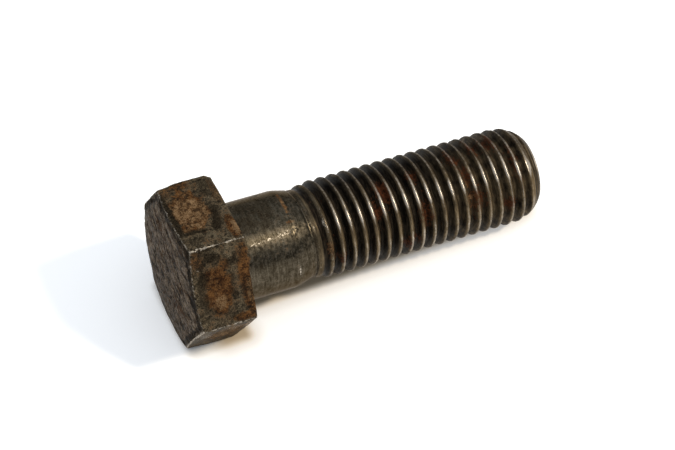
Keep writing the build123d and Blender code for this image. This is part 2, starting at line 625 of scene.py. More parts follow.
@dataclass(frozen=True)
class Weather:
    """Where the screw is rusty, grimy and worn, and where some highlights and shade are painted."""

    films: tuple[Film, ...] = (
        Film(RUST, (Zone.FLATS,), 0.17, 0.25),
        Film(RUST, (Zone.BEARING_FACE,), 0.60, 0.25),
        Film(RUST, (Zone.END_FACE,), 0.24, 0.3),
        Film(OCHRE, (Zone.FLATS, Zone.BEARING_FACE), 0.18, 0.25, fine=True),
        Film(GRIME_AND_SHADE, (Zone.END_FACE,), 0.10, 0.35),
    )
    top_flat: tuple[Patch, ...] = (
        Patch(RUST, (-8.8, -1.6), (4.6, 6.2), 0.95),
        Patch(OCHRE, (-8.8, -1.2), (4.4, 5.6), 0.72, 0.25),
        Patch(RUST, (-12.0, -8.4), (1.8, 2.0), 0.42),
        Patch(RUST, (-8.2, -9.2), (2.6, 1.4), 0.55),
        Patch(RUST, (-10.6, 3.2), (2.4, 1.2), 0.95),
        Patch(RUST, (-1.1, 6.2), (1.4, 3.6), 1.0),
        Patch(OCHRE, (-0.6, 7.2), (0.8, 3.0), 0.9),
        Patch(RUST, (-1.0, -5.4), (1.2, 4.4), 0.42),
        Patch(OCHRE, (-0.8, -3.0), (0.8, 2.6), 0.6),
        Patch(GRIME_AND_SHADE, (-4.8, 4.4), (1.2, 2.2), 1.0, 0.35, 0.9),
        Patch(GRIME_AND_SHADE, (-3.2, 1.6), (1.2, 4.6), 0.72, 0.7, 0.8),
        Patch(GRIME_AND_SHADE, (-9.6, 5.1), (3.8, 0.5), 1.0, 0.6, 0.6),
        Patch(GRIME_AND_SHADE, (-12.9, 1.6), (0.5, 3.4), 0.8, 0.6, 0.6),
        Patch(GRIME_AND_SHADE, (-2.6, -7.2), (2.0, 3.4), 0.6, 0.8, 0.9),
        Patch(GRIME_AND_SHADE, (-13.4, -1.0), (0.6, 8.0), 0.95, 0.6, 0.7),
        Patch(GRIME_AND_SHADE, (-11.0, 7.4), (3.0, 1.6), 0.62, 0.8, 0.9),
    )
    front_flat: tuple[Patch, ...] = (
        Patch(RUST, (-8.0, 0.6), (3.4, 6.6), 1.0, 0.6),
        Patch(OCHRE, (-8.2, 3.6), (1.8, 2.2), 0.75, 0.7),
        Patch(RUST, (-1.2, -2.6), (1.8, 6.6), 0.8, 0.85),
        Patch(RUST, (-1.0, 5.0), (1.4, 4.6), 0.82, 0.8),
        Patch(OCHRE, (-0.6, 3.4), (0.8, 4.2), 0.7),
        Patch(RUST, (-12.2, -7.0), (2.0, 3.0), 0.55, 0.7),
        Patch(RUST, (-3.0, 8.6), (2.6, 1.0), 0.7),
        Patch(GRIME_AND_SHADE, (-8.8, -7.2), (2.0, 1.6), 0.95, 0.7, 0.8),
        Patch(GRIME_AND_SHADE, (-3.2, -5.6), (1.0, 1.5), 0.9, 0.7, 0.8),
        Patch(GRIME_AND_SHADE, (-4.3, 0.2), (1.0, 4.4), 0.7, 0.7, 0.9),
        Patch(GRIME_AND_SHADE, (-12.0, -0.2), (1.3, 5.8), 0.74, 0.6, 0.9),
        Patch(GRIME_AND_SHADE, (-5.6, 7.4), (2.8, 1.2), 0.6, 0.8, 0.8),
        Patch(GRIME_AND_SHADE, (-9.0, -9.6), (3.4, 0.5), 0.6, 0.7, 0.6),
        Patch(BARE_AND_GLINT, (-12.4, -5.0), (0.5, 0.25), 0.8, 0.4, 0.2),
        Patch(GRIME_AND_SHADE, (-8.0, 0.6), (5.2, 9.4), 0.3, 0.9, 1.2),
    )
    lower_flat: tuple[Patch, ...] = (
        Patch(BARE_AND_GLINT, (-11.6, -2.0), (2.4, 3.6), 0.52, 0.8, 0.6),
        Patch(BARE_AND_GLINT, (-5.0, -5.0), (6.0, 3.4), 0.40, 0.9, 0.8),
        Patch(BARE_AND_GLINT, (-0.8, -4.0), (1.2, 6.0), 0.58, 0.8, 0.8),
        Patch(RUST, (-5.0, -1.0), (6.0, 7.0), 0.72, 0.8),
        Patch(OCHRE, (-5.0, -2.0), (6.0, 7.0), 0.95, 0.8),
    )
    hidden_flat: tuple[Patch, ...] = (
        Patch(RUST, (-7.0, 1.5), (4.5, 6.0), 0.8),
        Patch(OCHRE, (-6.0, 2.5), (3.0, 4.0), 0.6),
        Patch(RUST, (-1.2, -2.0), (1.5, 7.0), 0.8),
        Patch(GRIME_AND_SHADE, (-9.5, -5.0), (3.0, 3.0), 0.7, 0.7, 0.8),
        Patch(GRIME_AND_SHADE, (-4.0, -6.5), (1.6, 2.0), 0.7, 0.7, 0.8),
    )
    end_face: tuple[Patch, ...] = (
        Patch(GRIME_AND_SHADE, (7.0, -1.0), (0.9, 5.0), 0.7, 0.7, 0.7),
        Patch(GRIME_AND_SHADE, (-9.6, -1.4), (3.4, 1.3), 0.5, 0.7, 0.8),
        # the crease patches paint shade along grooves in the end face
        Patch(CREASE, (-2.1, 7.8), (2.2, 0.35), 1.0, 0.4, 0.2),
        Patch(CREASE, (-7.8, -0.6), (2.6, 0.3), 0.9, 0.5, 0.3),
        Patch(CREASE, (-14.6, -7.4), (2.0, 0.35), 0.9, 0.5, 0.3),
        Patch(RUST, (5.6, 10.9), (2.6, 1.4), 0.6, 0.7),
        Patch(RUST, (-8.7, -2.7), (3.6, 1.6), 0.62, 0.7),
        Patch(RUST, (-1.0, -7.2), (2.4, 1.4), 0.5, 0.7),
        Patch(BARE_AND_GLINT, (3.0, -6.6), (0.5, 0.3), 0.7, 0.5, 0.3),
    )
    shank: tuple[Patch, ...] = (
        Patch(RUST, (14.7, 84.0), (0.45, 24.0), 0.62),
        Patch(OCHRE, (14.8, 96.0), (0.5, 24.0), 0.5),
        Patch(RUST, (14.2, 112.0), (0.7, 3.0), 0.6),
        Patch(RUST, (1.0, 120.0), (1.3, 35.0), 0.6),
        Patch(GRIME_AND_SHADE, (4.8, 151.0), (0.25, 3.0), 0.9, 0.6, 1.0),
        Patch(GRIME_AND_SHADE, (5.6, 148.0), (0.2, 2.4), 0.8, 0.6, 1.0),
        # the broad patch at 88 degrees darkens the shank's upper side
        Patch(GRIME_AND_SHADE, (7.0, 88.0), (7.0, 24.0), 0.62, 0.8, 0.9),
        Patch(GRIME_AND_SHADE, (3.0, 102.0), (2.6, 12.0), 0.6, 0.7, 0.9),
        Patch(BARE_AND_GLINT, (14.6, 172.0), (0.25, 7.0), 0.8, 0.5, 0.5),
        # these three bare patches along 122 to 126 degrees are painted highlight sparkles where the lamp's
        # highlight runs
        Patch(BARE_AND_GLINT, (4.9, 126.0), (1.6, 2.2), 0.45, 0.9, 0.8),
        Patch(BARE_AND_GLINT, (8.6, 124.5), (2.4, 2.2), 0.5, 0.9, 0.9),
        Patch(BARE_AND_GLINT, (12.4, 122.0), (1.8, 2.6), 0.5, 0.9, 0.9),
        # this patch darkens the taper where the lamp's highlight falls: painted shade
        Patch(GRIME_AND_SHADE, (15.6, 124.0), (2.0, 8.0), 0.5, 0.9, 1.2),
    )
    thread: tuple[Patch, ...] = (
        # a painted glint on the first full ridge, where the lamp's highlight falls
        Patch(BARE_AND_GLINT, (22.2, 121.0), (0.35, 6.0), 0.62, 0.8, 1.4),
        Patch(RUST, (39.0, 107.0), (1.8, 16.0), 0.77, 0.8),
        Patch(RUST, (36.0, 128.0), (1.4, 12.0), 0.68, 0.8),
        Patch(RUST, (47.5, 96.0), (1.4, 8.0), 0.68, 0.8),
        Patch(RUST, (59.0, 88.0), (1.5, 14.0), 0.77, 0.8),
        Patch(RUST, (65.0, 78.0), (1.4, 16.0), 0.68, 0.8),
        Patch(RUST, (69.5, 76.0), (2.0, 16.0), 0.68, 0.8),
        Patch(RUST, (44.0, 186.0), (2.6, 12.0), 0.68, 0.8),
        Patch(RUST, (26.0, 176.0), (1.6, 10.0), 0.51, 0.8),
        Patch(RUST, (22.8, 157.0), (0.8, 10.0), 0.77, 0.8),
        Patch(OCHRE, (22.8, 157.0), (0.8, 9.0), 0.68, 0.8),
        Patch(RUST, (48.0, 150.0), (1.6, 18.0), 0.59, 0.8),
        Patch(RUST, (60.5, 118.0), (1.0, 16.0), 0.68, 0.8),
        Patch(OCHRE, (59.5, 130.0), (1.0, 12.0), 0.77, 0.8),
        Patch(RUST, (62.0, 150.0), (2.6, 18.0), 0.59, 0.8),
        Patch(OCHRE, (59.0, 150.0), (2.0, 16.0), 0.59, 0.8),
        Patch(RUST, (73.6, 120.0), (1.0, 22.0), 0.59, 0.8),
        Patch(RUST, (70.5, 168.0), (1.6, 12.0), 0.59, 0.8),
    )

    @property
    def flats(self) -> dict[int, tuple[Patch, ...]]:
        """The patches of each flat, by the angle of its middle in degrees."""
        hidden = {middle: self.hidden_flat for middle in (30, 270, 330)}
        return {90: self.top_flat, 150: self.front_flat, 210: self.lower_flat, **hidden}


def sample(points: np.ndarray, size: tuple[float, float, float], octaves: int, shift: float) -> np.ndarray:
    """Fractal noise about 0 at each point.

    Args:
        points: Places, in millimetres.
        size: Size of the coarsest features along x, y and z, in millimetres.
        octaves: How many finer octaves are added.
        shift: Moves the pattern, so that no two are alike.

    Returns:
        Noise, mostly between -1 and 1.
    """
    scaled = points / np.array(size) + shift
    return np.array([noise.fractal(place, 0.9, 2.1, octaves) for place in scaled.tolist()])


class Weathering:
    """Wears the skin and works out its masks."""

    mark_spacing = 0.8  # of the turning marks on the point, in millimetres
    fold_lean = 22  # of the forging folds, in degrees
    ledge_inset = 1.5  # from the flats to the ledge round the end face, in millimetres
    rubbed_corners = ((120, 0.8), (180, 0.74))  # the brightest corners between flats: angle and strength
    corner_rub = 0.35  # strength at the others
    # how brightly the thread's crests are rubbed at angles round the axis, in degrees; the peak round 123
    # degrees is a painted highlight where the lamp's highlight falls
    crest_rub_and_glint = (
        (0, 0.55), (60, 0.5), (80, 0.42), (100, 0.5), (110, 0.62), (116, 0.7), (123, 1.05),
        (129, 0.95), (136, 0.6), (144, 0.46), (160, 0.5), (170, 0.57), (200, 0.6), (360, 0.55),
    )
    glint_angle = 123  # where they are widest: a painted highlight where the lamp's highlight falls

    def __init__(self, skin: Skin, weather: Weather) -> None:
        """Keeps the skin's points and what is known of each."""
        self.skin = skin
        self.weather = weather
        self.points = np.array(skin.points)
        self.stations, level, upward = self.points.T
        self.zones = np.array([zone.value for zone in skin.zones])
        self.angles = np.degrees(np.arctan2(upward, level)) % 360
        self.radii = np.hypot(level, upward)
        self.masks = {mask: np.zeros(len(self.points)) for mask in Mask}
        self.ragged = sample(self.points, (2.2, 2.2, 2.2), 4, 7.3)
        self.fine = sample(self.points, (0.8, 0.8, 0.8), 3, 31.7)
        self.groove_start = skin.thread.groove(np.radians(self.angles))
        turns = (self.stations - self.groove_start) / skin.thread.pitch
        # place across the groove as a share of the pitch: 0 is its middle, above 0 faces the head
        self.phase = turns - np.round(turns)

    def where(self, *zones: Zone) -> np.ndarray:
        """Which points are in the zones."""
        return np.isin(self.zones, [zone.value for zone in zones])

    def add(self, mask: Mask, amount: np.ndarray | float, chosen: np.ndarray) -> None:
        """Raises a mask to an amount where that is more."""
        values = self.masks[mask]
        values[chosen] = np.maximum(values[chosen], np.broadcast_to(amount, values.shape)[chosen])

    def paint(
        self, patches: tuple[Patch, ...], first: np.ndarray, second: np.ndarray, chosen: np.ndarray
    ) -> None:
        """Lays patches on the chosen points."""
        for patch in patches:
            self.add(patch.mask, patch.cover(first, second, self.ragged), chosen)

    def across_flat(self, middle: float) -> tuple[np.ndarray, np.ndarray]:
        """Distance across a flat, and which points of the head lie on it.

        Args:
            middle: Angle of the flat's middle, in degrees.

        Returns:
            Distance from the flat's middle line, growing with the angle, and the points on the flat.
        """
        turn = math.radians(middle)
        across = -self.points[:, 1] * math.sin(turn) + self.points[:, 2] * math.cos(turn)
        close = np.abs((self.angles - middle + 180) % 360 - 180) <= 30
        return across, close & self.where(Zone.FLATS)

    def edge_distance(self) -> np.ndarray:
        """Distance of the head's points from the nearest corner between two flats."""
        off = np.abs((self.angles + 30) % 60 - 30)
        return np.radians(off) * self.radii

    def rim_distance(self) -> np.ndarray:
        """Distance of the head's points from the nearest flat, measured square to the axis."""
        off = np.radians(self.angles % 60 - 30)
        return self.skin.head.half_flats - self.radii * np.cos(off)

    def shoulder_distance(self) -> np.ndarray:
        """Distance of the head's points along the axis from where its sides meet the end face."""
        head = self.skin.head
        turns = np.radians(self.angles)
        hexagon = head.hexagon(turns)
        shoulder = head.crown_rise - head.height + (hexagon - head.bevel_radius) * head.bevel_slope
        return self.stations - shoulder - head.fall(turns, hexagon)

    def off_ledge(self) -> np.ndarray:
        """Distance of the head's points from the ledge round the end face, made crooked."""
        return self.rim_distance() - self.ledge_inset + 0.3 * self.ragged

    def threaded(self) -> np.ndarray:
        """How much of a thread each point's surroundings are; the first grooves fade in."""
        thread = self.skin.thread
        past = self.stations - thread.rise_start + 0.3 * self.ragged
        sunk = thread.envelope(self.stations) - self.radii
        return np.maximum(eased(past, 2.2, 4.0), eased(sunk, 0.04, 0.2) * eased(past, -1.4, -0.4))

    def risen(self) -> np.ndarray:
        """How far the first crests have risen to their full height at each point."""
        thread = self.skin.thread
        return eased(self.stations, thread.rise_start + 0.8, thread.rise_start + thread.rise_length)

    def folds(self) -> np.ndarray:
        """Forging folds of the end face, drawn out in one direction."""
        lean = math.radians(self.fold_lean)
        station, level, upward = self.points.T
        along = level * math.cos(lean) + upward * math.sin(lean)
        across = -level * math.sin(lean) + upward * math.cos(lean)
        return sample(np.stack((station, along, across), axis=1), (3.0, 5.0, 1.8), 4, 12.9)

    def stain(self) -> None:
        """Works out where rust, grime, bare metal, painted highlights and painted shade lie."""
        for film in self.weather.films:
            self.add(film.mask, film.cover(self.ragged, self.fine), self.where(*film.zones))
        soot = sample(self.points, (3.0, 3.0, 3.0), 3, 42.1)
        self.add(GRIME_AND_SHADE, 0.14 + 0.38 * soot, self.where(Zone.FLATS))
        for middle, patches in self.weather.flats.items():
            across, chosen = self.across_flat(middle)
            self.paint(patches, self.stations, across, chosen)
        self.paint(self.weather.shank, self.stations, self.angles, self.where(Zone.SHANK))
        self.paint(self.weather.thread, self.stations, self.angles, self.where(Zone.THREAD))
        self.soil_and_shade_end_face()
        self.wear_head_edges()
        self.rub_crests_and_paint_glints()
        self.brown_flanks()
        self.soil_and_shade_neck()
        self.mark_point()

    def soil_and_shade_end_face(self) -> None:
        """Darkens the end face in its folds and along its ledge with painted shade, and dirties it round its
        rim.
        """
        end = self.where(Zone.END_FACE)
        # painted shade in the folds and along the ledge
        self.add(CREASE, eased(self.folds(), 0.25, 0.9), end)
        self.add(CREASE, near(self.off_ledge(), 0.08, 0.4) * (0.75 + 0.5 * self.ragged), end)
        rim = 1 - eased(self.rim_distance(), 1.1, 2.0)
        self.add(GRIME_AND_SHADE, rim * (0.66 + 0.35 * self.ragged), end)
        self.paint(self.weather.end_face, self.points[:, 1], self.points[:, 2], end)

    def wear_head_edges(self) -> None:
        """Bares the metal along the corners between the flats and round the end face."""
        flats = self.where(Zone.FLATS)
        line = 1 - eased(self.edge_distance() + 0.35 * self.ragged, 0.04, 0.32)
        strength = np.full(len(self.angles), self.corner_rub)
        for corner, rubbed in self.rubbed_corners:
            strength[np.abs(self.angles - corner) < 8] = rubbed
        self.add(BARE_AND_GLINT, line * (strength + 0.35 * self.ragged), flats)
        worn = np.where(np.abs(self.angles - 210) < 30, 0.72, 0.42) + 0.3 * self.fine
        rim = 1 - eased(self.shoulder_distance() + 0.15 * self.ragged, 0.0, 0.35)
        self.add(BARE_AND_GLINT, rim * worn, flats)
        self.add(BARE_AND_GLINT, (1 - eased(self.rim_distance(), 0.05, 0.4)) * worn, self.where(Zone.END_FACE))

    def rub_crests_and_paint_glints(self) -> None:
        """Bares the metal along the thread's crests, with painted highlight making them wider and brighter
        round the glint angle and painted shade narrowing them at 128 to 172 degrees.
        """
        turn = np.abs(self.phase)
        outline = self.skin.thread.envelope(self.stations)
        top = eased(self.radii, outline - 0.6, outline - 0.12) * (turn > 0.25)
        rub_and_glint = np.interp(self.angles, *zip(*self.crest_rub_and_glint))
        rub_and_glint *= 1 + 0.3 * sample(self.points, (9.0, 3.5, 3.5), 2, 19.3)
        # painted highlight widens the crests round the glint angle; painted shade narrows them at 128 to 172
        # degrees
        glint = np.exp(-(((self.angles - self.glint_angle) / 10) ** 2))
        shaded = eased(self.angles, 128, 140) * (1 - eased(self.angles, 160, 172))
        past_top = eased(turn + 0.08 * glint, 0.29 + 0.14 * shaded, 0.40 + 0.1 * shaded)
        side = np.where(self.phase < 0, past_top, eased(turn + 0.03 * glint, 0.36, 0.43))
        self.add(BARE_AND_GLINT, top * side * rub_and_glint * self.risen(), self.where(Zone.THREAD))

    def brown_flanks(self) -> None:
        """Browns the flanks beside the crests, the far grooves and the first ridges."""
        threaded = self.where(Zone.THREAD)
        turn = np.abs(self.phase)
        # the band reaches further down the flanks that face the tip, which the lamp lights: brown worn metal,
        # and painted light on those lit flanks
        band = np.where(self.phase < 0, eased(turn, 0.13, 0.3), eased(turn, 0.3, 0.4)) * self.risen()
        facing = 0.3 + 0.7 * eased(np.cos(np.radians(self.angles - 150)), 0.45, 0.97)
        self.add(BROWN, band * facing * (0.9 + 0.5 * self.ragged), threaded)
        self.add(BROWN, 0.26 * eased(self.stations, 44, 72) * (1 + 1.6 * self.ragged), threaded)
        past = self.stations - self.skin.thread.rise_start
        sides = np.where(self.phase < 0, eased(turn, 0.2, 0.32), eased(turn, 0.36, 0.44))
        first = eased(past, -0.6, 0.2) * (1 - eased(past, 3.0, 4.0)) * sides
        self.add(BROWN, 0.4 * first * (1 + 0.6 * self.ragged), threaded)

    def soil_and_shade_neck(self) -> None:
        """Lays a dark line of painted shade, a pale line of painted highlight, a brown ridge and a dirty film
        along the first groove's start.
        """
        neck = self.where(Zone.THREAD, Zone.SHANK)
        past = self.stations - self.groove_start
        # painted shade: a dark line where a faint step would cast its shadow
        dark = near(past + 2.05, 0.1, 0.45)
        self.add(GRIME_AND_SHADE, 0.8 * dark + 0.3 * self.ragged * (dark > 0), neck)
        # painted highlight: a pale line along the step's edge, from 112 degrees round the lower side
        pale = near(past + 1.3, 0.05, 0.25) * eased(self.angles, 112, 124)
        self.add(BARE_AND_GLINT, pale * (0.30 + 0.3 * self.ragged), neck)
        ridge = near(past + 0.85, 0.15, 0.45)
        self.add(BROWN, 0.55 * ridge * (1 + 0.5 * self.ragged), neck)
        film = eased(past, 0.4, 0.8) * (1 - eased(past, 1.8, 3.0))
        self.add(GRIME_AND_SHADE, film * (0.4 + 0.2 * self.ragged), neck)

    def mark_point(self) -> None:
        """Browns the turning marks on the point and dirties the lines between them."""
        threaded = self.where(Zone.THREAD)
        ends = self.skin.thread.length - self.stations
        lines = 0.15 + 0.85 * eased(np.cos(2 * math.pi * ends / self.mark_spacing), -0.3, 0.6)
        point = 1 - eased(ends, 2.4, 3.2)
        self.add(BROWN, 0.62 * point * lines * (1 + 0.5 * self.ragged), threaded)
        self.add(GRIME_AND_SHADE, point * (1 - lines) * (0.9 + 0.4 * self.ragged), threaded)

    def depth(self) -> np.ndarray:
        """How far each point is worn in, in millimetres."""
        depth = np.zeros(len(self.points))
        uneven = sample(self.points, (7.0, 7.0, 7.0), 2, 3.1)
        pits = eased(self.fine, 0.0, 0.8)
        for zone, worn in (
            (Zone.FLATS, -0.06 + 0.08 * uneven + 0.07 * pits + self.chipped()),
            (Zone.END_FACE, 0.02 + 0.06 * uneven + 0.04 * pits + self.forged()),
            (Zone.SHANK, 0.01 + 0.02 * uneven + 0.004 * self.fine),
            (Zone.THREAD, 0.01 + 0.006 * self.fine + self.nicked()),
        ):
            chosen = self.where(zone)
            depth[chosen] = worn[chosen]
        return depth

    def chipped(self) -> np.ndarray:
        """How deep the flats' scale has come off and their corners are chipped."""
        scale = eased(self.ragged, -0.2, 0.6)
        edge = np.exp(-((self.edge_distance() / 0.6) ** 2))
        chips = eased(sample(self.points, (1.6, 1.6, 1.6), 3, 81.2), 0.0, 0.8)
        kept = 1 - 0.7 * np.exp(-(((self.angles - 60) / 20) ** 2))
        return 0.07 * scale + edge * kept * (0.02 + 0.25 * chips)

    def forged(self) -> np.ndarray:
        """How deep the end face's folds, ledge and creases are."""
        ledge = near(self.off_ledge(), 0.0, 0.45)
        return 0.20 * self.folds() + 0.1 * ledge + 0.1 * self.masks[CREASE]

    def nicked(self) -> np.ndarray:
        """How deep the crests' nicks and the point's turning marks are."""
        thread = self.skin.thread
        crest = eased(self.radii, thread.crest_radius - 0.5, thread.crest_radius)
        nicks = eased(sample(self.points, (2.5, 1.6, 1.6), 3, 55.5), 0.25, 0.9)
        ends = thread.length - self.stations
        marks = 0.5 - 0.5 * np.cos(2 * math.pi * ends / self.mark_spacing)
        return 0.16 * nicks * crest + 0.05 * marks * (1 - eased(ends, 1.2, 1.5))


# ---- Node graphs ----

Colour = tuple[float, float, float]
Socket = bpy.types.NodeSocket
Value = float | int | tuple | Socket
Sockets = dict[str, Socket]
Outputs = bpy.types.NodeOutputs


class Graph:
    """Adds nodes to one node tree and joins them."""

    def __init__(self, tree: bpy.types.NodeTree) -> None:
        """Keeps the tree."""
        self.tree = tree

    def node(
        self, kind: str, inputs: dict[str | int, Value] | None = None, **settings: object
    ) -> bpy.types.Node:
        """Adds a node.

        Args:
            kind: The node's type.
            inputs: Its inputs' constants, or the sockets that feed them.
            settings: Its other properties.

        Returns:
            The new node.
        """
        made = self.tree.nodes.new(kind)
        for name, value in settings.items():
            setattr(made, name, value)
        for key, value in (inputs or {}).items():
            self.feed(made.inputs[key], value)
        return made

    def feed(self, socket: Socket, value: Value) -> None:
        """Joins a socket to another, or sets its constant."""
        if isinstance(value, Socket):
            self.tree.links.new(value, socket)
        else:
            socket.default_value = value

    def math(self, operation: str, *values: Value, clamp: bool = False) -> Socket:
        """Result of one arithmetic step."""
        made = self.node("ShaderNodeMath", dict(enumerate(values)), operation=operation, use_clamp=clamp)
        return made.outputs[0]

    def vector(self, operation: str, first: Value, second: Value) -> Socket:
        """Result of one step of vector arithmetic; a distance is a number."""
        made = self.node("ShaderNodeVectorMath", {0: first, 1: second}, operation=operation)
        return made.outputs["Value" if operation == "DISTANCE" else "Vector"]

    def mix(self, share: Value, first: Value, second: Value) -> Socket:
        """Colour between first and second."""
        return self.node("ShaderNodeMix", {0: share, 6: first, 7: second}, data_type="RGBA").outputs[2]

    def blend(self, share: Value, first: Value, second: Value) -> Socket:
        """Number between first and second."""
        return self.node("ShaderNodeMix", {0: share, 2: first, 3: second}, data_type="FLOAT").outputs[0]

    def ramp(self, value: Value, colours: tuple[Colour, ...]) -> Socket:
        """Colour picked from a row of colours that are spread evenly from 0 to 1."""
        made = self.node("ShaderNodeValToRGB", {0: value})
        stops = made.color_ramp.elements
        for index, colour in enumerate(colours):
            share = index / (len(colours) - 1)
            stop = stops[index] if index < 2 else stops.new(share)
            stop.position = share
            stop.color = (*colour, 1)
        return made.outputs[0]

    def step(self, value: Value, low: Value, high: Value) -> Socket:
        """Smooth step of a value from 0 at low to 1 at high."""
        inputs = {0: value, 1: low, 2: high}
        return self.node("ShaderNodeMapRange", inputs, interpolation_type="SMOOTHSTEP").outputs[0]

    def read(self, name: str) -> bpy.types.Node:
        """Adds a node that reads one of the mesh's attributes."""
        return self.node("ShaderNodeAttribute", attribute_name=name)


class Effect:
    """A shared shader effect, kept as one node group that is built once."""

    name = "Effect"
    inputs: dict[str, tuple[str, Value]] = {}
    outputs: dict[str, str] = {}

    @classmethod
    def group(cls) -> bpy.types.NodeTree:
        """The effect's node group, built the first time that it is asked for."""
        found = bpy.data.node_groups.get(cls.name)
        if found:
            return found
        tree = bpy.data.node_groups.new(cls.name, "ShaderNodeTree")
        for name, (kind, default) in cls.inputs.items():
            socket = tree.interface.new_socket(name=name, in_out="INPUT", socket_type=kind)
            socket.default_value = default
        for name, kind in cls.outputs.items():
            tree.interface.new_socket(name=name, in_out="OUTPUT", socket_type=kind)
        graph = Graph(tree)
        entry = graph.node("NodeGroupInput")
        leave = graph.node("NodeGroupOutput")
        for name, socket in cls.wire(graph, entry.outputs).items():
            graph.feed(leave.inputs[name], socket)
        return tree

    @classmethod
    def wire(cls, graph: Graph, given: Outputs) -> Sockets:
        """Builds the effect's inside.

        Args:
            graph: Where its nodes go.
            given: Its inputs.

        Returns:
            The socket behind each of its outputs.
        """
        raise NotImplementedError

    @classmethod
    def use(cls, graph: Graph, **inputs: Value) -> Outputs:
        """Adds the effect to a graph; an input's spaces are written as underscores."""
        made = graph.node("ShaderNodeGroup", node_tree=cls.group())
        for name, value in inputs.items():
            graph.feed(made.inputs[name.replace("_", " ")], value)
        return made.outputs


class Grain(Effect):
    """Speckle in millimetres, optionally drawn out in one direction."""

    name = "Grain"
    inputs = {
        "Place": ("NodeSocketVector", (0.0, 0.0, 0.0)),
        "Size": ("NodeSocketVector", (1.0, 1.0, 1.0)),
        "Contrast": ("NodeSocketFloat", 1.0),
    }
    outputs = {"Speckle": "NodeSocketFloat"}
    detail = 6.0
    roughness = 0.7

    @classmethod
    def wire(cls, graph: Graph, given: Outputs) -> Sockets:
        """Scales the place and reads fractal noise there."""
        scaled = graph.vector("DIVIDE", given["Place"], given["Size"])
        inputs = {"Vector": scaled, "Scale": 1.0, "Detail": cls.detail, "Roughness": cls.roughness}
        raw = graph.node("ShaderNodeTexNoise", inputs).outputs["Fac"]
        centred = graph.math("SUBTRACT", raw, 0.5)
        spread = graph.math("MULTIPLY", centred, given["Contrast"])
        return {"Speckle": graph.math("ADD", spread, 0.5, clamp=True)}


class Mottle(Effect):
    """Uneven tone made of clouds, blotches and grit, optionally drawn out in one direction."""

    name = "Mottle"
    inputs = {
        "Place": ("NodeSocketVector", (0.0, 0.0, 0.0)),
        "Stretch": ("NodeSocketVector", (1.0, 1.0, 1.0)),
    }
    outputs = {"Tone": "NodeSocketFloat", "Blotch": "NodeSocketFloat", "Grit": "NodeSocketFloat"}
    layers = {"cloud": (3.2, 2.4, 0.28), "blotch": (1.0, 3.3, 0.42), "grit": (0.3, 4.0, 0.30)}

    @classmethod
    def wire(cls, graph: Graph, given: Outputs) -> Sockets:
        """Adds the layers up; each has its size in millimetres, its contrast and its share of the tone."""
        drawn = graph.vector("DIVIDE", given["Place"], given["Stretch"])
        tone, grains = 0.0, {}
        for name, (size, contrast, share) in cls.layers.items():
            grain = Grain.use(graph, Place=drawn, Size=(size, size, size), Contrast=contrast)
            grains[name] = grain["Speckle"]
            tone = graph.math("MULTIPLY_ADD", grains[name], share, tone)
        return {"Tone": tone, "Blotch": grains["blotch"], "Grit": grains["grit"]}


class RustCoat(Effect):
    """Rust that breaks up at its edges, from red-brown to ochre."""

    name = "Rust coat"
    inputs = {
        "Tone": ("NodeSocketFloat", 0.5),
        "Amount": ("NodeSocketFloat", 0.5),
        "Yellow": ("NodeSocketFloat", 0.5),
        "Hue": ("NodeSocketFloat", 0.5),
    }
    outputs = {"Colour": "NodeSocketColor", "Cover": "NodeSocketFloat"}
    red = ((0.009, 0.004, 0.003), (0.070, 0.031, 0.012), (0.17, 0.080, 0.028))
    yellow = ((0.030, 0.016, 0.008), (0.140, 0.080, 0.037), (0.30, 0.19, 0.10))

    @classmethod
    def wire(cls, graph: Graph, given: Outputs) -> Sockets:
        """Picks the colours by tone and hue, and breaks the cover up with the tone."""
        drift = graph.math("MULTIPLY_ADD", given["Tone"], 1.2, -0.6)
        tone = graph.step(given["Tone"], 0.2, 0.8)
        turn = graph.math("MULTIPLY_ADD", given["Hue"], 0.8, -0.4)
        yellow = graph.step(graph.math("ADD", given["Yellow"], turn), 0.2, 0.8)
        colour = graph.mix(yellow, graph.ramp(tone, cls.red), graph.ramp(tone, cls.yellow))
        cover = graph.step(graph.math("ADD", given["Amount"], drift), 0.2, 0.75)
        return {"Colour": colour, "Cover": cover}


class RubbedMetalAndGlints(Effect):
    """Bright metal where the skin is rubbed through, and painted glints where it is laid along highlights."""

    name = "Rubbed metal and glints"
    inputs = {
        "Place": ("NodeSocketVector", (0.0, 0.0, 0.0)),
        "Amount": ("NodeSocketFloat", 0.0),
        "Break Up": ("NodeSocketFloat", 0.7),
    }
    outputs = {"Cover": "NodeSocketFloat"}

    @classmethod
    def wire(cls, graph: Graph, given: Outputs) -> Sockets:
        """Breaks the rubbed lines up with speckle."""
        speckle = Grain.use(graph, Place=given["Place"], Size=(0.5, 0.5, 0.5), Contrast=2.6)["Speckle"]
        centred = graph.math("SUBTRACT", speckle, 0.5)
        lifted = graph.math("MULTIPLY_ADD", centred, given["Break Up"], given["Amount"])
        return {"Cover": graph.step(lifted, 0.35, 0.95)}


@dataclass(frozen=True)
class Tones:
    """Colours of bare skin from dark to light, and how metallic, rough and bumpy it is."""

    colours: tuple[Colour, ...]
    metallic: float
    roughness: float
    relief: float  # millimetres


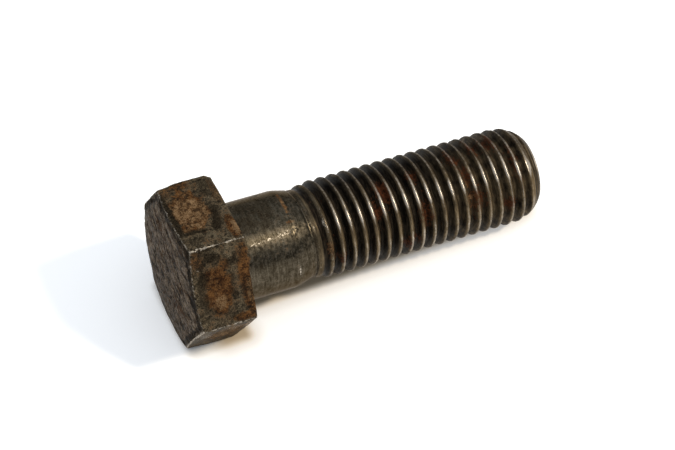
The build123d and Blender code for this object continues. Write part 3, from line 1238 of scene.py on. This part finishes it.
@dataclass(frozen=True)
class OldSteel:
    """Finish of the whole screw: dark steel with rust, grime and rubbed edges, and some painted highlights and
    shade.
    """

    name: str = "old_steel"
    flats: Tones = Tones(((0.008, 0.006, 0.004), (0.061, 0.047, 0.029), (0.20, 0.165, 0.11)), 0.1, 0.5, 0.06)
    end_face: Tones = Tones(
        ((0.007, 0.005, 0.003), (0.073, 0.053, 0.035), (0.24, 0.18, 0.125)), 0.15, 0.5, 0.08
    )
    shank: Tones = Tones(
        ((0.022, 0.017, 0.010), (0.060, 0.049, 0.033), (0.125, 0.107, 0.080)), 1.0, 0.32, 0.004
    )
    thread: Tones = Tones(
        ((0.003, 0.0025, 0.002), (0.008, 0.006, 0.004), (0.028, 0.021, 0.014)), 0.0, 0.42, 0.006
    )
    brown: tuple[Colour, ...] = ((0.045, 0.032, 0.018), (0.22, 0.16, 0.09))
    brown_roughness: float = 0.3
    # the next two are rust between the thread's ridges and on the end face
    deep_red: tuple[Colour, ...] = ((0.010, 0.004, 0.002), (0.085, 0.024, 0.010))
    dusty: tuple[Colour, ...] = ((0.018, 0.011, 0.008), (0.065, 0.043, 0.031), (0.14, 0.095, 0.065))
    grime_and_shade: tuple[Colour, ...] = ((0.004, 0.003, 0.002), (0.017, 0.012, 0.007), (0.05, 0.04, 0.025))
    bare_and_glint: Colour = (0.52, 0.46, 0.385)
    bare_roughness: float = 0.4
    coat_roughness: tuple[float, float] = (0.8, 0.45)  # of rust and grime, off the thread and on it
    specular: float = 0.04
    tint: Colour = (0.6, 0.55, 0.5)
    plain_share: float = 0.55  # of the shank's tone; the rest are its turning marks
    dust_share: float = 0.6  # of the rust on the end face
    crease_dark: float = 0.45  # how much darker the creases are painted: painted shade in folds and grooves
    turning_stretch: tuple[float, float, float] = (0.45, 5.0, 5.0)  # of the shank's turning marks
    forging_stretch: tuple[float, float, float] = (1.0, 1.7, 0.9)
    forging_lean: float = -22  # degrees
    rust_relief: float = 0.18  # millimetres

    def build(self) -> bpy.types.Material:
        """Builds the material."""
        material = bpy.data.materials.new(self.name)
        material.use_nodes = True
        material.node_tree.nodes.clear()
        graph = Graph(material.node_tree)
        names = [mask.value for mask in Mask] + ["threaded", "headed", "end_face"]
        masks = {name: graph.read(name).outputs["Fac"] for name in names}
        place = graph.read("place").outputs["Vector"]
        plain = Mottle.use(graph, Place=place)
        turning = Mottle.use(graph, Place=place, Stretch=self.turning_stretch)
        tone = self.tone(graph, masks, place, plain["Tone"], turning["Tone"])

        # the creases are painted darker: painted shade in folds and grooves
        creased = graph.math("MULTIPLY_ADD", masks["crease"], -self.crease_dark, tone)
        steel = self.skin(graph, masks, graph.step(creased, 0.2, 0.8))
        brown = graph.math("MULTIPLY", masks["brown"], graph.blend(turning["Tone"], 0.6, 1.4), clamp=True)
        steel = graph.mix(brown, steel, graph.ramp(turning["Tone"], self.brown))
        rust, rusty = self.rust(graph, masks, place, plain["Tone"], tone)
        colour = graph.mix(rusty, steel, rust)
        drift = graph.math("MULTIPLY_ADD", plain["Blotch"], 0.7, -0.35)
        # the grime cover also carries the painted shade of the neck's dark line
        grime_and_shade_cover = graph.step(graph.math("ADD", masks["grime_and_shade"], drift), 0.2, 0.95)
        colour = graph.mix(grime_and_shade_cover, colour, graph.ramp(plain["Grit"], self.grime_and_shade))
        broken = graph.blend(masks["threaded"], 0.9, 0.25)
        # rubbed metal, which also carries the painted glints along the highlights
        rubbed = RubbedMetalAndGlints.use(graph, Place=place, Amount=masks["bare_and_glint"], Break_Up=broken)["Cover"]
        colour = graph.mix(rubbed, colour, (*self.bare_and_glint, 1))

        covered = graph.math("MAXIMUM", rusty, grime_and_shade_cover)
        clear = graph.math("SUBTRACT", 1.0, covered)
        metallic = graph.math("MULTIPLY", brown, 0.5)
        metallic = graph.math("MAXIMUM", self.by_zone(graph, masks, "metallic"), metallic)
        metallic = graph.math("MAXIMUM", graph.math("MULTIPLY", clear, metallic), rubbed)
        dull = graph.math("MULTIPLY_ADD", plain["Blotch"], 0.2, -0.1)
        dull = graph.math("ADD", self.by_zone(graph, masks, "roughness"), dull)
        dull = graph.blend(brown, dull, self.brown_roughness)
        dull = graph.blend(covered, dull, graph.blend(masks["threaded"], *self.coat_roughness))
        dull = graph.blend(rubbed, dull, self.bare_roughness)
        looks = {
            "Base Color": colour,
            "Metallic": metallic,
            "Roughness": dull,
            "Specular IOR Level": self.specular,
            "Specular Tint": (*self.tint, 1),
            "Normal": self.relief(graph, masks, plain, tone, covered),
        }
        shader = graph.node("ShaderNodeBsdfPrincipled", looks)
        graph.node("ShaderNodeOutputMaterial", {"Surface": shader.outputs[0]})
        return material

    def tone(self, graph: Graph, masks: Sockets, place: Socket, plain: Socket, turning: Socket) -> Socket:
        """How light the skin is, from its mottle, its turning marks and its forging folds.

        Args:
            graph: Where its nodes go.
            masks: The masks' sockets.
            place: The screw's own coordinates.
            plain: Tone of the plain mottle.
            turning: Tone of the turning marks.

        Returns:
            The tone, from 0 to 1.
        """
        lean = {"Vector": place, "Angle": math.radians(self.forging_lean)}
        turned = graph.node("ShaderNodeVectorRotate", lean, rotation_type="X_AXIS").outputs[0]
        forging = Mottle.use(graph, Place=turned, Stretch=self.forging_stretch)
        head = graph.blend(masks["end_face"], plain, forging["Tone"])
        evened = graph.blend(masks["threaded"], self.plain_share, 0.0)
        return graph.blend(masks["headed"], graph.blend(evened, turning, plain), head)

    def rust(
        self, graph: Graph, masks: Sockets, place: Socket, plain: Socket, tone: Socket
    ) -> tuple[Socket, Socket]:
        """Rust, deep red between the thread's ridges and dusty on the end face.

        Args:
            graph: Where its nodes go.
            masks: The masks' sockets.
            place: The screw's own coordinates.
            plain: Tone of the plain mottle.
            tone: Tone of the skin.

        Returns:
            Its colour and how much it covers.
        """
        hue = Grain.use(graph, Place=place, Size=(1.5, 1.5, 1.5), Contrast=2.6)["Speckle"]
        coat = RustCoat.use(graph, Tone=plain, Amount=masks["rust"], Yellow=masks["ochre"], Hue=hue)
        red = graph.math("SUBTRACT", 0.85, masks["ochre"])
        red = graph.math("MULTIPLY", masks["threaded"], red, clamp=True)
        colour = graph.mix(red, coat["Colour"], graph.ramp(plain, self.deep_red))
        dusty = graph.math("MULTIPLY", masks["end_face"], self.dust_share)
        return graph.mix(dusty, colour, graph.ramp(tone, self.dusty)), coat["Cover"]

    def relief(self, graph: Graph, masks: Sockets, plain: Outputs, tone: Socket, covered: Socket) -> Socket:
        """Normal of the fine relief: the skin's own, and a crust where the head is covered.

        Args:
            graph: Where its nodes go.
            masks: The masks' sockets.
            plain: The plain mottle.
            tone: Tone of the skin.
            covered: How much rust or grime covers a place.

        Returns:
            The normal.
        """
        crust = graph.math("MULTIPLY", plain["Blotch"], graph.blend(plain["Grit"], 0.7, 1.0))
        crusted = graph.math("MULTIPLY", graph.math("MULTIPLY", covered, masks["headed"]), self.rust_relief)
        own = graph.math("MULTIPLY", tone, self.by_zone(graph, masks, "relief"))
        height = graph.math("MULTIPLY_ADD", crust, crusted, own)
        return graph.node("ShaderNodeBump", {"Height": height, "Distance": MM, "Strength": 1.0}).outputs[0]

    def by_zone(self, graph: Graph, masks: Sockets, what: str) -> Socket:
        """One of the tones' numbers, chosen by where the place lies."""
        head = graph.blend(masks["end_face"], getattr(self.flats, what), getattr(self.end_face, what))
        body = graph.blend(masks["threaded"], getattr(self.shank, what), getattr(self.thread, what))
        return graph.blend(masks["headed"], body, head)

    def skin(self, graph: Graph, masks: Sockets, tone: Value) -> Socket:
        """Colour of the skin itself.

        Args:
            graph: Where its nodes go.
            masks: The masks' sockets.
            tone: How light the place is, from 0 to 1.

        Returns:
            The colour, before rust and grime.
        """
        flats, end_face, shank, thread = (
            graph.ramp(tone, tones.colours) for tones in (self.flats, self.end_face, self.shank, self.thread)
        )
        head = graph.mix(masks["end_face"], flats, end_face)
        return graph.mix(masks["headed"], graph.mix(masks["threaded"], shank, thread), head)


# ---- The screw ----


def placed(name: str, data: bpy.types.ID) -> bpy.types.Object:
    """Puts a new object in the scene."""
    made = bpy.data.objects.new(name, data)
    bpy.context.scene.collection.objects.link(made)
    return made


class Sheet:
    """The square that the skin is unwrapped onto: discs and strips side by side, in millimetres."""

    SIDE = 136.0
    MARGIN = 2.0
    DISCS = {Zone.END_FACE: 24.0, Zone.BEARING_FACE: 70.0, Zone.TIP: 108.0}  # where their middles lie
    DISCS_UP = 102.0
    FLATS_UP = 124.0
    FLATS_TURN = 126.0  # how long one turn round the flats is drawn
    FLATS_SHARE = 0.6  # of the flats' own length at which they are drawn
    BODY_TURN = 74.0  # how wide one turn round the shank and the thread is drawn

    def __init__(self, skin: Skin) -> None:
        """Works out each point's share of a turn and its distance from the start of its strip."""
        _, level, upward = np.array(skin.points).T
        self.skin = skin
        self.turns = np.arctan2(upward, level) / (2 * math.pi) % 1
        self.starts = {zone: self.first_reach(zone) for zone in (Zone.FLATS, Zone.SHANK)}

    def first_reach(self, zone: Zone) -> float:
        """Distance along the outline at which a zone starts."""
        return min(reach for reach, where in zip(self.skin.reach, self.skin.zones) if where is zone)

    def place(self, index: int, zone: Zone, wraps: bool) -> tuple[float, float]:
        """Where a face's corner lies on the sheet.

        Args:
            index: The point at the corner.
            zone: The zone of the face.
            wraps: Whether the face closes the seam.

        Returns:
            Distances across and up the sheet.
        """
        if zone in self.DISCS:
            _, level, upward = self.skin.points[index]
            return self.DISCS[zone] + level, self.DISCS_UP + upward
        turn = self.turns[index]
        if wraps and turn < 0.5:
            turn += 1
        if zone is Zone.FLATS:
            down = (self.skin.reach[index] - self.starts[Zone.FLATS]) * self.FLATS_SHARE
            return self.MARGIN + turn * self.FLATS_TURN, self.FLATS_UP + down
        along = self.skin.reach[index] - self.starts[Zone.SHANK]
        return self.MARGIN + along, self.MARGIN + turn * self.BODY_TURN


@dataclass(frozen=True)
class Screw:
    """The whole screw, one closed piece."""

    stock: Stock
    room: tuple[tuple[float, ...], tuple[float, ...]]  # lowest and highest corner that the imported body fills
    finish: OldSteel = field(default_factory=OldSteel)
    weather: Weather = field(default_factory=Weather)

    def build(self) -> bpy.types.Object:
        """Builds, weathers, unwraps and paints the screw."""
        head = HeadShape(self.stock.half_flats, self.stock.radius)
        thread = ThreadShape(self.stock.radius, self.stock.shank_end, self.stock.length)
        skin = Skin(head, thread)
        skin.build()
        weathering = Weathering(skin, self.weather)
        weathering.stain()
        mesh = self.mesh(skin)
        self.dent(mesh, weathering)
        self.store(mesh, weathering)
        self.unwrap(mesh, skin)
        mesh.materials.append(self.finish.build())
        piece = placed("worn_screw", mesh)
        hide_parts("hex_head_screw")
        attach(piece, "root")
        log.info("%s: %d faces", piece.name, len(mesh.polygons))
        return piece

    def mesh(self, skin: Skin) -> bpy.types.Mesh:
        """Makes a smooth mesh of the skin, in its own coordinates and in millimetres."""
        mesh = bpy.data.meshes.new("worn_screw")
        mesh.from_pydata(skin.points, [], skin.faces)
        mesh.polygons.foreach_set("use_smooth", [True] * len(mesh.polygons))
        mesh.update()
        return mesh

    def dent(self, mesh: bpy.types.Mesh, weathering: Weathering) -> None:
        """Moves each point in by its worn depth, then lays the mesh down in the row frame, in metres."""
        normals = np.empty(3 * len(mesh.vertices))
        mesh.vertices.foreach_get("normal", normals)
        places = weathering.points - normals.reshape(-1, 3) * weathering.depth()[:, None]
        places = places @ np.array(self.stock.matrix().to_3x3()).T * MM
        mesh.vertices.foreach_set("co", np.clip(places, *self.room).ravel())
        mesh.update()

    def store(self, mesh: bpy.types.Mesh, weathering: Weathering) -> None:
        """Keeps the masks and the screw's own coordinates in the mesh, where the material finds them."""
        values = {mask.value: weathering.masks[mask] for mask in Mask}
        values["threaded"] = weathering.threaded()
        values["headed"] = weathering.where(Zone.END_FACE, Zone.FLATS, Zone.BEARING_FACE)
        values["end_face"] = weathering.where(Zone.END_FACE)
        for name, amounts in values.items():
            layer = mesh.attributes.new(name, "FLOAT", "POINT")
            layer.data.foreach_set("value", np.clip(amounts.astype(float), 0, 1))
        place = mesh.attributes.new("place", "FLOAT_VECTOR", "POINT")
        place.data.foreach_set("vector", weathering.points.ravel())

    def unwrap(self, mesh: bpy.types.Mesh, skin: Skin) -> None:
        """Unwraps the ends as discs and the rest as strips round the axis, side by side in a square."""
        sheet = Sheet(skin)
        layer = mesh.uv_layers.new(name="OFBake")
        values = np.zeros((len(mesh.loops), 2))
        for polygon, zone, wraps in zip(mesh.polygons, skin.face_zones, skin.face_wraps):
            for loop in polygon.loop_indices:
                values[loop] = sheet.place(mesh.loops[loop].vertex_index, zone, wraps)
        layer.data.foreach_set("uv", (values / sheet.SIDE).ravel())
        log.info("unwrapped %.1f by %.1f mm", values[:, 0].max(), values[:, 1].max())


# ---- Studio ----


@dataclass(frozen=True)
class Lamp:
    """A soft square light that faces the screw."""

    name: str
    direction: tuple[float, float, float]
    distance: float
    size: float
    power: float
    colour: Colour

    def build(self, target: Vector) -> bpy.types.Object:
        """Puts the light in place, facing the target."""
        light = bpy.data.lights.new(self.name, "AREA")
        light.shape = "SQUARE"
        light.size = self.size
        light.energy = self.power
        light.color = self.colour
        lamp = placed(self.name, light)
        way = Vector(self.direction).normalized()
        lamp.location = target + way * self.distance
        lamp.rotation_euler = way.to_track_quat("Z", "Y").to_euler()
        return lamp


Box = tuple[tuple[float, float], tuple[float, float]]  # lowest and highest corner on the floor


@dataclass(frozen=True)
class Studio:
    """Floor, light and camera."""

    stock: Stock
    floor_half: float = 2.0
    target_station: float = 30.0
    azimuth: float = 23.99
    elevation: float = 50.08
    distance: float = 634.4
    focal_length: float = 140.57
    sensor_width: float = 36
    nudge: tuple[float, float] = (-0.5, -0.6)  # right and up, millimetres
    lamps: tuple[Lamp, ...] = (
        Lamp("warm_lamp", (0.536, -0.411, 0.737), 1.2, 0.12, 8.7, (1.0, 0.89, 0.72)),
    )
    sky: Colour = (0.87, 0.93, 1.0)
    sky_low: float = 0.12  # how bright the sky is at the horizon
    sky_high: float = 1.02  # how bright the sky is overhead
    head_print: Box = ((-13.0, -11.0), (0.0, 11.0))  # what the head stands over
    seat_print: Box = ((-4.0, -11.0), (0.0, 11.0))
    body_print: Box = ((0.0, -3.0), (78.0, 3.0))
    clear_gap: float = 3.0  # millimetres
    shade_gap: float = 6.5  # how far the painted contact shade reaches, in millimetres
    bounce_glow: Colour = (1.0, 0.86, 0.66)  # painted bounce light: the floor glows in the screw's own colour beside it
    table: Colour = (0.97, 0.97, 0.97)
    table_shade_beside: Colour = (0.58, 0.47, 0.33)  # painted contact shade: brown right beside the screw
    table_lift: float = 0.36  # how much whiter the table looks than it is lit, away from the screw; its fading near the screw paints the contact shade darker

    def build(self, lowest: float) -> None:
        """Builds everything round the screw.

        Args:
            lowest: Height of the screw's lowest point, in metres.
        """
        target = self.stock.along * self.target_station * MM
        self.floor(lowest)
        for lamp in self.lamps:
            lamp.build(target)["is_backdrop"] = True
        self.surroundings()
        self.camera(target)
        bpy.context.scene.view_settings.view_transform = "Standard"

    def floor(self, lowest: float) -> None:
        """Lays a pale floor under the screw, with painted contact shade and bounce light beside it."""
        half = self.floor_half
        mesh = bpy.data.meshes.new("floor")
        corners = [(-half, -half, 0), (half, -half, 0), (half, half, 0), (-half, half, 0)]
        mesh.from_pydata(corners, [], [(0, 1, 2, 3)])
        material = bpy.data.materials.new("white_table")
        material.use_nodes = True
        graph = Graph(material.node_tree)
        rays = graph.node("ShaderNodeLightPath").outputs
        seen = graph.math("MAXIMUM", rays["Is Camera Ray"], rays["Is Glossy Ray"])
        seen = graph.math("MAXIMUM", seen, rays["Is Transmission Ray"])
        # near the screw the glow fades and the colour darkens and warms: painted contact shade and bounce
        # light
        clear = self.clear_of(graph, (self.head_print, self.body_print), self.clear_gap)
        contact_shaded = self.clear_of(graph, (self.seat_print, self.body_print), self.shade_gap)
        seen = graph.math("MULTIPLY", seen, clear)
        shader = material.node_tree.nodes["Principled BSDF"]
        looks = {
            "Base Color": graph.mix(contact_shaded, (*self.table_shade_beside, 1), (*self.table, 1)),
            "Roughness": 0.8,
            "Specular IOR Level": 0.1,
            "Emission Color": graph.mix(clear, (*self.bounce_glow, 1), (1, 1, 1, 1)),
            "Emission Strength": graph.math("MULTIPLY", seen, self.table_lift),
        }
        for name, value in looks.items():
            graph.feed(shader.inputs[name], value)
        mesh.materials.append(material)
        floor = placed("floor", mesh)
        floor.location.z = lowest
        floor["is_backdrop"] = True

    def clear_of(self, graph: Graph, boxes: tuple[Box, ...], gap_mm: float) -> Socket:
        """How far a place on the floor is clear of the screw.

        Args:
            graph: Where the nodes go.
            boxes: What the screw stands over.
            gap_mm: How far off a place is fully clear.

        Returns:
            A number from 0 beside the boxes to 1 at the gap.
        """
        place = graph.node("ShaderNodeTexCoord").outputs["Object"]
        nearest = []
        for low, high in boxes:
            inside = graph.vector("MINIMUM", place, self.corner(high))
            inside = graph.vector("MAXIMUM", inside, self.corner(low))
            nearest.append(graph.vector("DISTANCE", place, inside))
        return graph.step(graph.math("MINIMUM", *nearest), 0.0, gap_mm * MM)

    def corner(self, place: tuple[float, float]) -> tuple[float, float, float]:
        """A corner on the floor, in metres."""
        return place[0] * MM, place[1] * MM, 0.0

    def surroundings(self) -> None:
        """Lights everything softly from all round, most of all from overhead."""
        world = bpy.data.worlds.new("room")
        world.use_nodes = True
        graph = Graph(world.node_tree)
        direction = graph.node("ShaderNodeTexCoord").outputs["Generated"]
        height = graph.node("ShaderNodeSeparateXYZ", {0: direction}).outputs["Z"]
        strength = graph.node("ShaderNodeMapRange", {0: height, 3: self.sky_low, 4: self.sky_high}).outputs[0]
        background = world.node_tree.nodes["Background"]
        graph.feed(background.inputs["Color"], (*self.sky, 1))
        graph.feed(background.inputs["Strength"], strength)
        bpy.context.scene.world = world

    def camera(self, target: Vector) -> None:
        """Looks down at the screw from the side of its head."""
        azimuth, elevation = math.radians(self.azimuth), math.radians(self.elevation)
        level = math.cos(elevation)
        back = Vector((-math.sin(azimuth) * level, -math.cos(azimuth) * level, math.sin(elevation)))
        right = (-back).cross(Vector((0, 0, 1))).normalized()
        upward = right.cross(-back)
        lens = bpy.data.cameras.new("camera")
        lens.lens = self.focal_length
        lens.sensor_width = self.sensor_width
        camera = placed("camera", lens)
        camera.location = target + back * self.distance * MM
        camera.location += (right * self.nudge[0] + upward * self.nudge[1]) * MM
        camera.rotation_euler = back.to_track_quat("Z", "Y").to_euler()
        bpy.context.scene.camera = camera


def main() -> None:
    """Builds the screw and its studio."""
    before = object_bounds()
    stock = Stock.from_record(frame["record"])
    Screw(stock, before).build()
    Studio(stock).build(before[0][2])


if __name__ == "__main__":
    main()
